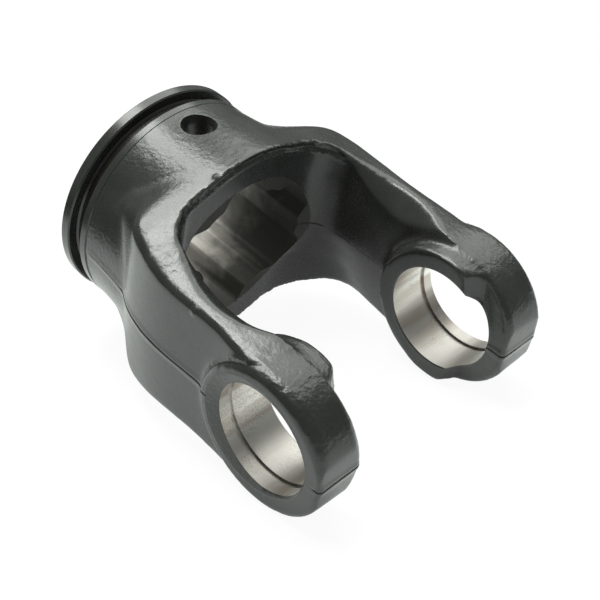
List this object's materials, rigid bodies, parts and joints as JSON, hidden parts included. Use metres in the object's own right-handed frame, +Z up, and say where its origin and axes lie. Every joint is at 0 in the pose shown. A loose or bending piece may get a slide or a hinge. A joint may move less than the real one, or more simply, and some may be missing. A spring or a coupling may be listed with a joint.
{
  "type": "forged yoke",
  "caption": "Forged steel fork for a universal joint, with a ribbed bore for a profile tube, a collar with a guard groove and an ear with a bearing bore on each arm",
  "frame": {"origin": "the centre of the joint, on the axis of the two bearing bores and halfway between the ears; the floor is at the lowest point of the ears", "axes": "+Y runs along the bearing bores, +X runs level from the hub to the tips of the fork, +Z is up with the yoke lying on the floor on one side of its hub and on both ears"},
  "size_m": [0.1193, 0.0868, 0.0754],
  "materials": {
    "paint": "satin black paint over a shot-blasted forging, with bare machined steel in the bores"
  },
  "bodies": {
    "root": {"forged_yoke": "paint"}
  },
  "joints": []
}
